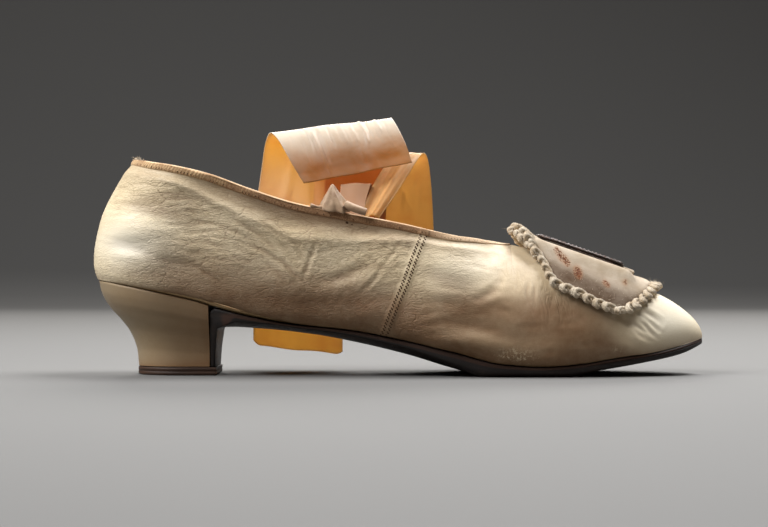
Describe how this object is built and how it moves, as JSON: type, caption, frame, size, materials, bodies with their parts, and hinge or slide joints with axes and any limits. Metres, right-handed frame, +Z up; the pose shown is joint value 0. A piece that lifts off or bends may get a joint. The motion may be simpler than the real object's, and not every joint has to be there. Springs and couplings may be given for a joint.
{
  "type": "lady's heeled slipper",
  "caption": "Low-cut leather slipper with a covered curved heel, an oval vamp ornament edged with cord braid, and a wide silk ribbon tie.",
  "frame": {"origin": "on the floor under the middle of the shoe's length and width", "axes": "+X towards the toe, +Z up, -Y towards the side the picture shows"},
  "size_m": [0.24, 0.07, 0.1014],
  "materials": {
    "kid": "creased cream kid with soft sheen",
    "heel_cover": "cream kid stretched over the heel block",
    "sole_leather": "dark worn sole leather",
    "top_piece": "brown stacked leather edge",
    "insole_leather": "tan sock leather",
    "felt": "felted nap with rust marks",
    "braid": "looped cotton cord",
    "steel": "tarnished dark steel",
    "pink_ribbon": "faded silk",
    "silk": "cream silk ribbon, glows where lit from behind"
  },
  "bodies": {
    "root": {"upper": "kid", "outsole": "sole_leather", "insole": "insole_leather", "heel": "heel_cover", "heel_top_piece": "top_piece", "vamp_ornament": "felt", "ornament_braid": "braid", "buckle": "steel", "buckle_ribbon": "pink_ribbon", "buckle_tab": "braid", "tie_arch": "silk", "tie_loop": "silk", "tie_knot": "silk", "tie_roll": "silk", "tie_tail": "silk"}
  },
  "joints": []
}
